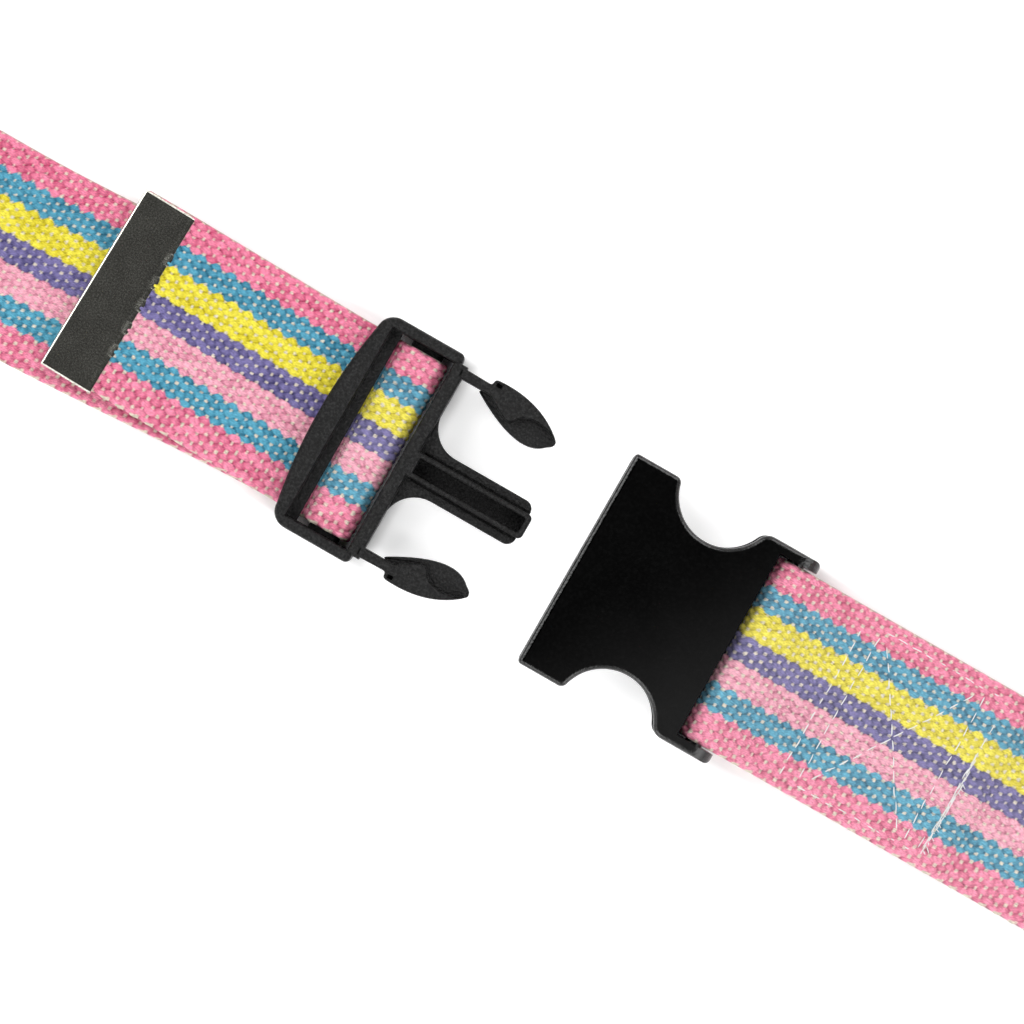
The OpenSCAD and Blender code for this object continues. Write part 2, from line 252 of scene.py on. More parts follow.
def woven(name, way, first, last, rows, top, under, wear_and_painted_light=0.0):
    """A length of strap along a way, from one running length to another. Its section is a flat
    core with half-round edges; each point is then moved out along the section by the weave's
    height. The wear value raises the weft and also paints the cloth paler, as painted light.
    Colour goes to the attribute yarn, and running millimetres to the UV map."""
    count = int(round((last - first) / pick * rows)) + 1
    u = np.linspace(first, last, count)
    length, centre, wide, thick = way
    at = [np.stack([np.interp(u, length, a[:, c]) for c in range(3)], axis=1)
          for a in (centre, wide, thick)]
    v_top = across_strap(top)
    v_under = across_strap(under)[::-1][1:-1]
    v = np.concatenate([v_top, v_under])
    face = np.concatenate([np.ones(len(v_top)), -np.ones(len(v_under))])
    uu, vv = np.meshgrid(u, v, indexing="ij")
    height = np.empty(uu.shape)
    colour = np.empty(uu.shape + (3,))
    for sign in (1, -1):
        part = face == sign
        height[:, part], colour[:, part] = weave(uu[:, part], vv[:, part], sign, wear_and_painted_light)
    seam = [0, len(v_top) - 1]
    height[:, seam] = 0.06
    tilt = np.clip((np.abs(v) - (strap_w / 2 - round_edge)) / round_edge, 0, 1) * np.pi / 2
    out_v = np.sin(tilt) * np.sign(v)
    out_t = np.cos(tilt) * face
    base_v = np.sign(v) * np.minimum(np.abs(v), strap_w / 2 - round_edge) + core * out_v
    place_v = base_v + height * out_v
    place_t = core * out_t + height * out_t
    points = (at[0][:, None, :] + at[1][:, None, :] * place_v[..., None]
              + at[2][:, None, :] * place_t[..., None])
    obj = shell(name, points)
    mesh = obj.data
    # Painted light: the colour is lifted towards white by the wear amount, which makes these
    # pieces paler.
    colour = (colour + (1 - colour) * wear_and_painted_light) / light_on_strap
    rgba = np.concatenate([colour, np.ones(uu.shape + (1,))], axis=-1)
    yarn = mesh.attributes.new("yarn", "FLOAT_COLOR", "POINT")
    yarn.data.foreach_set("color", rgba.astype(np.float32).ravel())
    ring = len(v)
    round_v = np.concatenate([[0], np.cumsum(np.hypot(np.diff(base_v), np.diff(core * out_t)))])
    round_v = np.append(round_v, round_v[-1] + 0.3)
    i, j = np.meshgrid(np.arange(count - 1), np.arange(ring), indexing="ij")
    uv_u = u[np.stack([i, i + 1, i + 1, i], axis=-1)]
    uv_v = round_v[np.stack([j, j, j + 1, j + 1], axis=-1)]
    uv = np.zeros((len(mesh.loops), 2), np.float32)
    side = np.stack([uv_u, uv_v], axis=-1).reshape(-1, 2)
    uv[:len(side)] = side
    mesh.uv_layers.new(name="yarn_mm").data.foreach_set("uv", uv.ravel())
    smooth_faces = np.ones(len(mesh.polygons), bool)
    smooth_faces[-2:] = False
    mesh.polygons.foreach_set("use_smooth", smooth_faces)
    mesh.materials.append(webbing_finish)
    return obj


def finish(name, roughness, **sockets):
    """A material with its shader's fixed values set on the shader's own sockets."""
    material = bpy.data.materials.new(name)
    material.use_nodes = True
    shader = material.node_tree.nodes["Principled BSDF"]
    shader.inputs["Roughness"].default_value = roughness
    for socket, value in sockets.items():
        shader.inputs[socket.replace("_", " ")].default_value = value
    return material, material.node_tree, shader


def node(tree, kind, links=(), **values):
    """Adds a node, sets its named sockets, and links (output, socket) pairs into it."""
    made = tree.nodes.new(kind)
    for key, value in values.items():
        if key in made.inputs:
            made.inputs[key].default_value = value
        else:
            setattr(made, key, value)
    for source, socket in links:
        tree.links.new(source, made.inputs[socket])
    return made


def ranged(tree, value, low, high, first=0.0, last=1.0, kind="LINEAR"):
    """A value's way from low to high laid out from first to last, and held at both ends."""
    return node(tree, "ShaderNodeMapRange", [(value, "Value")], interpolation_type=kind,
                **{"From Min": low, "From Max": high, "To Min": first, "To Max": last}).outputs[0]


def bumped(tree, shader, height, strength, distance):
    """Turns a height from 0 to 1 into bumps so many metres high on the shader."""
    bump = node(tree, "ShaderNodeBump", [(height, "Height")], Strength=strength,
                Distance=distance)
    tree.links.new(bump.outputs[0], shader.inputs["Normal"])


def cotton():
    """Spun cotton: the colour in the yarn attribute, its painted shade and highlight included,
    made a little uneven by two sizes of noise, over a bump of fine fibres that lean across the
    yarn as its twist does."""
    material, tree, shader = finish("striped cotton", 0.92, Sheen_Weight=0.12, Sheen_Roughness=0.5,
                                    Specular_IOR_Level=0.25)
    where = node(tree, "ShaderNodeUVMap", uv_map="yarn_mm").outputs["UV"]
    lean = node(tree, "ShaderNodeMapping", [(where, "Vector")], Rotation=(0, 0, 0.45),
                Scale=(0.9, 2.6, 1))
    fibre = node(tree, "ShaderNodeTexNoise", [(lean.outputs[0], "Vector")], Scale=1.4, Detail=3.0)
    patch = node(tree, "ShaderNodeTexNoise", [(where, "Vector")], Scale=0.35, Detail=2.0)
    yarn = node(tree, "ShaderNodeAttribute", attribute_name="yarn").outputs["Color"]
    fine = ranged(tree, fibre.outputs[0], 0.3, 0.7, 0.66, 1.3)
    broad = ranged(tree, patch.outputs[0], 0, 1, 0.92, 1.08)
    both = node(tree, "ShaderNodeMath", [(fine, 0), (broad, 1)], operation="MULTIPLY")
    tinted = node(tree, "ShaderNodeVectorMath", [(yarn, 0), (both.outputs[0], "Scale")],
                  operation="SCALE")
    tree.links.new(tinted.outputs[0], shader.inputs["Base Color"])
    bumped(tree, shader, fibre.outputs[0], 0.9, 0.0004)
    return material


webbing_finish = cotton()

# ---------------------------------------------------------------------------
# Waist loop: one length of strap, from the sewn end round the waist and back under the male
# half. The front lies flat; the strap then rolls onto its edge and stands round the back.
# ---------------------------------------------------------------------------
half_round = 567      # from the front's end to the middle of the back
roll_len = 110        # over which the strap rolls onto its edge
ease_from = 165       # the bend eases off from here
ease_to = 310         # to here
back_share = 0.2      # how sharply the back bends, against the sides
loop_steps = 520
bar_x = root_x - 8.2  # the middle bar's near round edge
under_end = bar_x - 0.5


def half_loop():
    """Half of the waist loop: the heading turns with the sine of the roll, cubed, and turns
    less from the sides to the back. Headings are scaled to half a circle; x and y are running
    sums along them. Returns the points of the centre line and the direction across."""
    ds = half_round / loop_steps
    s = np.arange(loop_steps + 1) * ds
    mid = s[:-1] + ds / 2
    roll_mid = np.pi / 2 * smooth(0, roll_len, mid)
    bend = np.sin(roll_mid) ** 3 * (1 - (1 - back_share) * smooth(ease_from, ease_to, mid))
    heading = np.concatenate([[0], np.cumsum(bend)])
    heading *= np.pi / heading[-1]
    step = (heading[:-1] + heading[1:]) / 2
    x = np.concatenate([[0], np.cumsum(np.cos(step)) * ds])
    y = np.concatenate([[0], np.cumsum(np.sin(step)) * ds])
    x = flat_x - x * flat_x / x[-1]
    roll = np.pi / 2 * smooth(0, roll_len, s)
    z = strap_w / 2 * np.sin(roll) + strap_t / 2 * np.cos(roll)
    wide = np.stack([-np.sin(heading) * np.cos(roll), np.cos(heading) * np.cos(roll),
                     np.sin(roll)], axis=1)
    return np.stack([x, front_y + y, z], axis=1), wide


def whole_loop():
    """The right half loop, the left half as its mirror image run backwards, and the straight
    run under the male half, which lies a little askew below the tail."""
    right, right_wide = half_loop()
    flip = np.array([-1, 1, 1])
    left = (right * flip)[::-1][1:]
    left_wide = (right_wide * flip)[::-1][1:]
    x = np.arange(-flat_x + 1, under_end, 1.0)
    run = np.stack([x, np.full(len(x), front_y), np.full(len(x), strap_t / 2)], axis=1)
    points = np.concatenate([right, left, run, [[under_end, front_y, strap_t / 2]]])
    wide = np.concatenate([right_wide, left_wide, np.tile([0.0, 1.0, 0.0], (len(x) + 1, 1))])
    return points, wide


loop_points, loop_wide = whole_loop()
past_left = np.arange(len(loop_points)) > loop_steps
askew = -4.2 * smooth(-52, -150, loop_points[:, 0]) * smooth(150, 20, loop_points[:, 1] - front_y)
loop_points[:, 1] += np.where(past_left & (loop_points[:, 1] < front_y + 150), askew, 0)
loop_way = along(loop_points, loop_wide)
loop_length = loop_way[0][-1]
# Cut at the middle of the back, and just before the left flat
cuts = [0, 190, 380, half_round, 760, 950, 2 * half_round - 40, loop_length]
for n in range(len(cuts) - 1):
    fine = n == len(cuts) - 2
    rows, columns = (5, 3) if fine else (4, 2)
    piece = woven(f"waist_strap_{n + 1}", loop_way, cuts[n], cuts[n + 1], rows, columns, 2)
    if cuts[n + 1] <= half_round:
        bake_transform(piece)
    else:
        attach(piece, "root")
    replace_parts(piece, "webbing_loop")

# ---------------------------------------------------------------------------
# Laced end: the strap comes up round the male half's middle bar, passes over it and goes
# down under the outer bar to lie back on itself as the tail.
# ---------------------------------------------------------------------------
far_x = root_x - 13.6    # the middle bar's far round edge
bar_z = 4.05
wrap_r = 2.85
tail_mid = 4.05
leave = 150              # degrees round the far edge, where the strap leaves it


def in_front(xz, y=0.0):
    """Points of a centre line given by X and height, set on the belt's front centre line."""
    xz = np.asarray(xz, float)
    return np.stack([xz[:, 0], np.full(len(xz), front_y) + y, xz[:, 1]], axis=1)


def turn_round(x, z, r, start, end, count=60):
    """X and height along an arc about (x, z), between two angles in degrees."""
    a = np.radians(np.linspace(start, end, count))
    return np.stack([x + r * np.cos(a), z + r * np.sin(a)], axis=1)


def ramp(p, q, count=60):
    """X and height from p to q, level at both ends: the height follows the smooth step."""
    t = np.linspace(0, 1, count)
    return np.stack([p[0] + (q[0] - p[0]) * t, p[1] + (q[1] - p[1]) * smooth(0, 1, t)], axis=1)


def pull(p, control, q, count=12):
    """Points from p to q along a curve pulled towards a control point: the square of
    1 - t times p, plus twice t(1 - t) times the control, plus t squared times q."""
    t = np.linspace(0, 1, count)[:, None]
    return (1 - t) ** 2 * np.array(p) + 2 * t * (1 - t) * np.array(control) + t * t * np.array(q)


def across_y(points):
    """The belt's own direction across, +Y, at each point."""
    return np.tile([0.0, 1.0, 0.0], (len(points), 1))


down = turn_round(far_x, bar_z, wrap_r, leave, leave, 1)[0]
foot = np.array([down[0] - (down[1] - tail_mid) / math.tan(math.radians(leave - 90)), tail_mid])
wrap_line = np.concatenate([
    np.stack([np.linspace(root_x - 21.2, foot[0] - 1.8, 12), np.full(12, tail_mid)], axis=1),
    pull(foot - (1.7, 0), foot, down, 30),
    turn_round(far_x, bar_z, wrap_r, leave - 1, 90, 30),
    turn_round(bar_x, bar_z, wrap_r, 89, -90),
    [[bar_x - 0.4, bar_z - wrap_r]]])
wrap_points = in_front(wrap_line)
wrap_way = along(wrap_points, across_y(wrap_points))
# The strap over the bar is painted a little paler by its wear value, as painted light.
wrap = woven("strap_over_bar", wrap_way, 0, wrap_way[0][-1], 7, 4, 2, wear_and_painted_light=0.04)
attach(wrap, "root")
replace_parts(wrap, "webbing_bar_wrap")

tail_line = np.stack([np.linspace(tip_x + 1.65, root_x - 21.6, 80), np.full(80, tail_mid)], axis=1)
tail_points = in_front(tail_line)
tail_points[:, 1] += 1.2 * smooth(root_x - 22, tip_x, tail_line[:, 0])
tail_way = along(tail_points, across_y(tail_points))
tail = woven("strap_tail", tail_way, 0, tail_way[0][-1], 7, 4, 2)
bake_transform(tail)
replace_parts(tail, "webbing_tail")

# ---------------------------------------------------------------------------
# Sewn end: the strap's other end is folded round the female half's web bar and doubled
# back under itself, where it is sewn down.
# ---------------------------------------------------------------------------
web_x = mouth_x + 48     # the web bar
web_z = 6.2
web_r = 3.55             # the strap's middle line round it
fold_x = web_x + 65      # the folded end's raw edge
double_z = 1.5 * strap_t + 0.02
sewn_line = np.concatenate([
    ramp((web_x + 9, strap_t / 2), (web_x + 0.6, web_z - web_r)),
    turn_round(web_x, web_z, web_r, 270, 90),
    ramp((web_x + 0.6, web_z + web_r), (web_x + 20, double_z)),
    ramp((fold_x + 0.6, double_z), (fold_x + 7, strap_t / 2)),
    [[flat_x - 0.03, strap_t / 2]]])
sewn_points = in_front(sewn_line)
sewn_way = along(sewn_points, across_y(sewn_points))
# Lengths are counted back from the waist loop, so that the weave runs on into it
sewn_len = sewn_way[0][-1]
sewn_way = (sewn_way[0] - sewn_len, *sewn_way[1:])
sewn_cut = float(np.interp(web_x + 25, sewn_points[60:, 0], sewn_way[0][60:]))
sewn_parts = [(-sewn_len, sewn_cut), (sewn_cut, sewn_cut + 60), (sewn_cut + 60, 0)]
# The sewn end is painted paler by its wear value, as painted light.
for n, (first, last) in enumerate(sewn_parts):
    piece = woven(f"sewn_strap_{n + 1}", sewn_way, first, last, 7, 4, 2, wear_and_painted_light=0.06)
    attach(piece, "sewn_end")
    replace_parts(piece, "webbing_sewn_end")

fold_line = np.stack([np.linspace(web_x + 9.3, fold_x, 60), np.full(60, strap_t / 2)], axis=1)
fold_points = in_front(fold_line)
fold_way = along(fold_points, across_y(fold_points))
fold = woven("sewn_under_fold", fold_way, 0, fold_way[0][-1], 4, 2, 2)
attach(fold, "sewn_end")
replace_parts(fold, "webbing_folded_end")

# ---------------------------------------------------------------------------
# Male half of the buckle: one black acetal moulding. A frame of two rails, a bowed outer bar
# and a root bar holds the flat middle bar that the strap turns round; a ribbed guide stands
# out in front on two round gussets. Its top edges are rounded as they leave the mould.
# ---------------------------------------------------------------------------
frame_w = 59.2
frame_h = 9.8
rail_w = 2.9
rail_end = -1.8
rail_r = 1.4
rear_r = 4.5
bar_bow = 2.3
outer_bar_in = -21.0
root_bar_w = 3.6
guide_w = 12.2
guide_len = 31.2
guide_low = 4.6
nose_r = 2.4
gusset_r = 8.5
rib_w = 6.7
rib_wall = 1.25
groove = 0.7


def arc(x, y, r, start, end, count=10):
    """Plan points along a round arc about (x, y), between two angles in degrees."""
    a = np.radians(np.linspace(start, end, count))
    return np.stack([x + r * np.cos(a), y + r * np.sin(a)], axis=1)


def outline(*parts):
    """Joins stretches of plan points into one closed outline that runs anticlockwise, without
    its doubled points: the sign of the shoelace area says which way it runs."""
    points = np.concatenate([np.atleast_2d(np.asarray(part, float)) for part in parts])
    keep = np.linalg.norm(points - np.roll(points, 1, axis=0), axis=1) > 1e-4
    points = points[keep]
    ahead = np.roll(points, -1, axis=0)
    area = np.sum(points[:, 0] * ahead[:, 1] - ahead[:, 0] * points[:, 1])
    return points if area > 0 else points[::-1]


def eased(points, step=0.3, passes=5):
    """An outline with its corners eased: points set at equal steps along it, each then moved
    several times to the mean of itself, counted twice, and its two neighbours."""
    closed = np.concatenate([points, points[:1]])
    length = np.concatenate([[0], np.cumsum(np.linalg.norm(np.diff(closed, axis=0), axis=1))])
    at = np.linspace(0, length[-1], int(length[-1] / step) + 1)[:-1]
    points = np.stack([np.interp(at, length, closed[:, c]) for c in range(2)], axis=1)
    for _ in range(passes):
        points = (np.roll(points, 1, axis=0) + 2 * points + np.roll(points, -1, axis=0)) / 4
    return points


def moved_in(points, distance):
    """An outline moved inwards: each point goes along the mean of its two sides' inward
    normals, divided by how far that mean leans from either."""
    ahead = np.roll(points, -1, axis=0) - points
    ahead /= np.linalg.norm(ahead, axis=1, keepdims=True)
    behind = np.roll(ahead, 1, axis=0)
    normal = np.stack([-ahead[:, 1] - behind[:, 1], ahead[:, 0] + behind[:, 0]], axis=1)
    lean = 1 + np.sum(ahead * behind, axis=1, keepdims=True)
    return points + distance * normal / np.maximum(lean, 0.5)


def moulded(name, plan, low, high, edge, at_x, low_edge=None):
    """A moulding with an upright wall round a plan outline and quarter-round edges. Layer by
    layer from the bottom: the inset is the edge radius times (1 - sine), the height gains the
    radius times (1 - cosine); the top edge is the same, upside down."""
    low_edge = edge if low_edge is None else low_edge
    a = np.radians(np.linspace(0, 90, 6))
    insets = np.concatenate([low_edge * (1 - np.sin(a)), edge * (1 - np.cos(a))])
    heights = np.concatenate([low + low_edge * (1 - np.cos(a)), high - edge + edge * np.sin(a)])
    layers = []
    for inset, height in zip(insets, heights):
        ring = moved_in(plan, inset)[::-1] + np.array([at_x, front_y])
        layers.append(np.column_stack([ring, np.full(len(ring), height)]))
    return shell(name, np.array(layers))


def cutter(plan, low, high, lip, at_x):
    """A tool that sinks a pocket through a moulding's top face at high, and flares there so
    that the pocket's mouth is left with a quarter-round lip."""
    a = np.radians(np.linspace(0, 90, 5))
    outsets = np.concatenate([[0], lip * (1 - np.cos(a)), [lip]])
    heights = np.concatenate([[low], high - lip + lip * np.sin(a), [high + 2]])
    layers = []
    for outset, height in zip(outsets, heights):
        ring = moved_in(plan, -outset)[::-1] + np.array([at_x, front_y])
        layers.append(np.column_stack([ring, np.full(len(ring), height)]))
    return shell("cutter", np.array(layers))


def block(x0, x1, y0, y1):
    """Plan outline of a rectangle."""
    return outline([[x0, y0], [x1, y0], [x1, y1], [x0, y1]])


def carve(obj, tools, operation="DIFFERENCE"):
    """Cuts tools away from a moulding, or joins them to it, applies the cuts to its mesh and
    removes the tools."""
    for tool in tools:
        cut = obj.modifiers.new("cut", "BOOLEAN")
        cut.operation = operation
        cut.solver = "EXACT"
        cut.object = tool
    bpy.context.view_layer.update()
    ready = obj.evaluated_get(bpy.context.evaluated_depsgraph_get())
    mesh = bpy.data.meshes.new_from_object(ready)
    obj.modifiers.clear()
    obj.data = mesh
    for tool in tools:
        bpy.data.objects.remove(tool)


def trim(obj, material, angle=35):
    """Smooth shading with a crease wherever two faces meet at more than the angle, and faces
    weighted by their area so that flat ones stay flat."""
    obj.data.materials.clear()
    obj.data.materials.append(material)
    obj.data.polygons.foreach_set("use_smooth", np.ones(len(obj.data.polygons), bool))
    obj.data.set_sharp_from_angle(angle=math.radians(angle))
    weighted = obj.modifiers.new("weighted normals", "WEIGHTED_NORMAL")
    weighted.keep_sharp = True
    weighted.weight = 80


def acetal(name, grain, depth, tone, sparkle_paint, shine, roughness, rub_and_highlight_tone):
    """Black acetal: a fine grain etched in the mould, as noise on Object coordinates, with the
    peaks of its grain painted paler than its tone, as painted sparkle highlights, and gloss
    that wanders a little with a broader noise. It is duller where hands rub it, by the web bar
    and the front edge, and painted paler there as a painted highlight: a ramp along
    0.8 X - 0.6 Y."""
    material, tree, shader = finish(name, roughness, Specular_IOR_Level=shine)
    where = node(tree, "ShaderNodeTexCoord").outputs["Object"]
    etched = node(tree, "ShaderNodeTexNoise", [(where, "Vector")], Scale=grain, Detail=3.0,
                  Roughness=0.6)
    broad = node(tree, "ShaderNodeTexNoise", [(where, "Vector")], Scale=90.0, Detail=2.0)
    gloss = ranged(tree, broad.outputs[0], 0, 1, roughness - 0.04, roughness + 0.04)
    way = node(tree, "ShaderNodeVectorMath", [(where, 0)], operation="DOT_PRODUCT")
    way.inputs[1].default_value = (0.8, -0.6, 0)
    # Painted highlight: along this ramp the base colour is raised, painted paler towards the web
    # bar and the front edge; the same ramp makes the gloss rougher there, where hands rub it.
    rub_and_highlight_ramp = ranged(tree, way.outputs["Value"], 0.096, 0.138, kind="SMOOTHSTEP")
    # Painted highlight: the peaks of the etched grain are painted paler than the tone, standing in
    # for sparkle.
    painted_sparkle = ranged(tree, etched.outputs[0], 0.45, 0.72, tone, tone + sparkle_paint)
    for start, gain, socket in ((gloss, 9.0 * rub_and_highlight_tone, "Roughness"),
                                (painted_sparkle, rub_and_highlight_tone, "Base Color")):
        raised = node(tree, "ShaderNodeMath", [(rub_and_highlight_ramp, 0), (start, 2)], operation="MULTIPLY_ADD")
        raised.inputs[1].default_value = gain
        tree.links.new(raised.outputs[0], shader.inputs[socket])
    bumped(tree, shader, etched.outputs[0], 0.6, depth)
    return material


male_finish = acetal("grained black acetal", 1700.0, 0.0012, 0.0004, 0.018, 0.16, 0.34, 0.0)
half_w = frame_w / 2
rear_x = bar_bow - frame_len
bow_r = ((half_w - rear_r) ** 2 + bar_bow ** 2) / (2 * bar_bow)
bow_angle = math.degrees(math.asin((half_w - rear_r) / bow_r))
inner = half_w - rail_w
frame_plan = outline(
    arc(rail_end - rail_r, -half_w + rail_r, rail_r, 0, -90, 7),
    arc(rear_x + rear_r, -half_w + rear_r, rear_r, 270, 180, 10),
    arc(bow_r - frame_len, 0, bow_r, 180 + bow_angle, 180 - bow_angle, 40),
    arc(rear_x + rear_r, half_w - rear_r, rear_r, 180, 90, 10),
    arc(rail_end - rail_r, half_w - rail_r, rail_r, 90, 0, 7))
male = moulded("male_half", frame_plan, 0, frame_h, 1.1, root_x, 0.6)
carve(male, [
    cutter(block(outer_bar_in, 5, -inner, inner), -1, frame_h, 0.5, root_x),
    moulded("cutter", block(-40, outer_bar_in + 1, -inner, inner), -2, 5.5, 0.3, root_x)])
guide_plan = outline(
    [[-1.5, -guide_w / 2 - gusset_r]],
    arc(gusset_r, -guide_w / 2 - gusset_r, gusset_r, 180, 90, 16),
    arc(guide_len - nose_r, -guide_w / 2 + nose_r, nose_r, -90, 0, 8),
    arc(guide_len - nose_r, guide_w / 2 - nose_r, nose_r, 0, 90, 8),
    arc(gusset_r, guide_w / 2 + gusset_r, gusset_r, -90, -180, 16),
    [[-1.5, guide_w / 2 + gusset_r]])


def rib_plan(half, start, end, corner):
    """Plan outline of the guide's rib: a long slot shape with rounded corners at its nose."""
    return outline([[start, -half]], arc(end - corner, -half + corner, corner, -90, 0, 6),
                   arc(end - corner, half - corner, corner, 0, 90, 6), [[start, half]])


rib = moulded("rib", rib_plan(rib_w / 2, -1.0, guide_len + 1.1, 1.3), guide_low, frame_h, 0.45,
              root_x)
grooves = [moulded("groove", rib_plan(rib_w / 2 + groove, 1.2, guide_len + 3, 0.3), 7.2,
                   frame_h + 1, 0.1, root_x)]
root_bar = moulded("root_bar", block(-root_bar_w, 0, -inner - 0.6, inner + 0.6), 0.8, frame_h,
                   0.7, root_x, 0.5)
ledge = moulded("ledge", block(outer_bar_in - 0.4, -18.2, -inner - 0.6, inner + 0.6), 5.5, 6.7,
                0.4, root_x)
middle_bar = moulded("middle_bar", block(-15.2, -6.6, -inner - 1, inner + 1), 2.45, 5.65, 1.55,
                     root_x, 1.55)
guide = moulded("guide", guide_plan, guide_low, 7.9, 0.6, root_x)
carve(guide, grooves)
carve(male, [root_bar, middle_bar, ledge, guide, rib], "UNION")
carve(male, [cutter(rib_plan(rib_w / 2 - rib_wall, 0.9, guide_len - 0.3, 0.8), 5.9, frame_h,
                    0.25, root_x)])
trim(male, male_finish)
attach(male, "root")
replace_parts(male, "male_frame")

# ---------------------------------------------------------------------------
# Prongs: springy arms moulded with the male half, each with a barbed head. The head's lower
# leaf is its full outline; a thicker upper part follows the outer side, and a ridge curves
# from it down to the point, round a recessed grip face.
# ---------------------------------------------------------------------------
prong_low = 2.6
prong_high = frame_h
leaf_high = 8.3


def prong(name, side):
    """One prong on the +Y or -Y side, as two mouldings joined: the leaf and the thick part.
    Plan points are X from the root plane and distance from the guide's middle line."""
    flip = np.array([1, side])
    arm_in = np.stack([np.linspace(7.0, -1.5, 9), np.full(9, 24.05)], axis=1)
    arm_out = np.stack([np.linspace(-1.5, 7.3, 9), np.linspace(26.75, 26.55, 9)], axis=1)
    shoulder = [[7.35, 28.0], [7.7, 28.25]]
    outer_side = pull((8.6, 28.35), (20.5, 29.1), (28.1, 22.1), 26)
    point = pull((28.1, 22.1), (28.5, 20.7), (26.6, 19.9), 6)
    belly = pull((26.6, 19.9), (21.2, 13.9), (4.9, 23.7), 30)
    leaf_plan = outline(arm_in[1:] * flip, arm_out * flip, np.array(shoulder) * flip,
                        outer_side * flip, point * flip, belly * flip)
    thick_plan = outline(
        arm_in * flip, arm_out * flip, np.array(shoulder) * flip, outer_side[:-1] * flip,
        pull((27.6, 21.9), (24.5, 24.3), (20.8, 24.0), 10) * flip,
        pull((20.2, 23.9), (17.6, 23.7), (16.6, 21.9), 8) * flip,
        pull((16.2, 21.2), (15.6, 20.2), (14.2, 20.6), 6) * flip,
        pull((13.4, 21.0), (10.5, 22.3), (8.3, 24.0), 8) * flip)
    obj = moulded(name, eased(leaf_plan), prong_low, leaf_high, 0.45, root_x)
    thick = moulded("thick part", eased(thick_plan), prong_low + 0.9, prong_high, 0.45, root_x)
    notch = cutter(outline(block(8.2, 9.7, 26.7, 27.7) * flip), 8.6, prong_high, 0.2, root_x)
    carve(obj, [thick], "UNION")
    carve(obj, [notch])
    trim(obj, male_finish)
    return obj


for body, side in (("left_prong", 1), ("right_prong", -1)):
    piece = prong(body + "_arm", side)
    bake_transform(piece)
    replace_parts(piece, body)

# ---------------------------------------------------------------------------
# Female half: one hollow black acetal moulding, open at the mouth and at both finger
# cut-outs. Two lobes behind it carry the round web bar. Its faces have a leathery grain.
# ---------------------------------------------------------------------------
ear = 29.7
ear_r = 1.8
lobe = 28.5
lobe_r = 3.4
female_h = 12.4
plate_t = 2.2
lip = 1.4
plate_end = 43.1
lobe_end = 53.7
lobe_round = 6.2
finger_x = 25.4
finger_y = 31.6
finger_r = 12.5
window_y = 25.75
web_bar_r = 2.3
mark_deep = 0.12
female_finish = acetal("leathery black acetal", 1150.0, 0.00022, 0.0003, 0.0012, 0.4, 0.2,
                       0.007)


def fillet(line_y, r, forward):
    """The round corner between a side that runs along X and the finger cut-out: its centre is
    r inside the side, and its own radius plus the cut-out's away from the cut-out's centre."""
    y = line_y - r
    reach = math.sqrt((finger_r + r) ** 2 - (finger_y - y) ** 2)
    x = finger_x + forward * reach
    towards = math.degrees(math.atan2(finger_y - y, finger_x - x))
    return x, y, towards


def side_plan():
    """Half the plan outline on the +Y side, from the mouth to the lobe's end: ear, round
    corner, finger cut-out, round corner, lobe."""
    ear_x, ear_y, ear_turn = fillet(ear, ear_r, -1)
    lobe_x, lobe_y, lobe_turn = fillet(lobe, lobe_r, 1)
    return np.concatenate([
        arc(0.9, ear - 0.9, 0.9, 180, 90, 5),
        arc(ear_x, ear_y, ear_r, 90, ear_turn, 8),
        arc(finger_x, finger_y, finger_r, 180 + ear_turn, 180 + lobe_turn, 40),
        arc(lobe_x, lobe_y, lobe_r, lobe_turn, 90, 10),
        arc(lobe_end - 1.6, lobe - 1.6, 1.6, 90, 0, 6)])


half = side_plan()
bow_tie = outline(half, (half * [1, -1])[::-1])
female = moulded("female_half_shell", bow_tie, 0, female_h, 1.3, mouth_x)


def side_prism(points):
    """A bar right across the buckle, with its outline given in side view: distance from the
    mouth, then height, clockwise."""
    x, z = np.asarray(points, float).T
    rows = [np.column_stack([x + mouth_x, np.full(len(x), front_y + y), z]) for y in (-40, 40)]
    return shell("cutter", np.array(rows))


carve(female, [side_prism(np.concatenate([
    [[-2, -0.5], [-2, female_h + 0.5], [lobe_end - 7.4, female_h + 0.5]],
    turn_round(lobe_end - lobe_round, female_h / 2, lobe_round, 90, -90, 20),
    [[lobe_end - 7.4, -0.5]]]))], "INTERSECT")
# The hollow, the window behind it, the sloped lip at the mouth, and a small moulded mark
marks = [moulded("cutter", plan, female_h - mark_deep, female_h + 1, 0.01, mouth_x)
         for plan in (block(28.2, 30.0, 13.9, 14.1), block(29.0, 29.2, 13.1, 14.9))]
carve(female, [
    moulded("cutter", block(-3, plate_end - 2, -28.6, 28.6), plate_t, female_h - plate_t, 0.4,
            mouth_x),
    moulded("cutter", block(plate_end, 60, -window_y, window_y), -2, female_h + 2, 0.1, mouth_x),
    side_prism([[-3, 0.3], [-3, female_h + 2], [lip, female_h + 2], [lip, plate_t - 0.3],
                [-0.2, 0.95]]),
    *marks])
bar_turn = turn_round(web_x, web_z, web_bar_r, 0, -345, 24)
bar_rows = [np.column_stack([bar_turn[:, 0], np.full(24, front_y + y), bar_turn[:, 1]])
            for y in np.linspace(window_y + 0.8, -window_y - 0.8, 3)]
joined = [shell("web_bar", np.array(bar_rows))]
for side in (-7.3, 7.3):
    joined.append(moulded("rib", block(8, plate_end - 1, side - 0.6, side + 0.6), plate_t - 0.3,
                          plate_t + 1.8, 0.3, mouth_x))
for side in (-1, 1):
    joined.append(moulded("ledge", block(lip, 7.6, *sorted((side * 28.38, side * 29.2))),
                          plate_t - 0.3, female_h - plate_t + 0.3, 0.1, mouth_x))
carve(female, joined, "UNION")
trim(female, female_finish)
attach(female, "female_half")
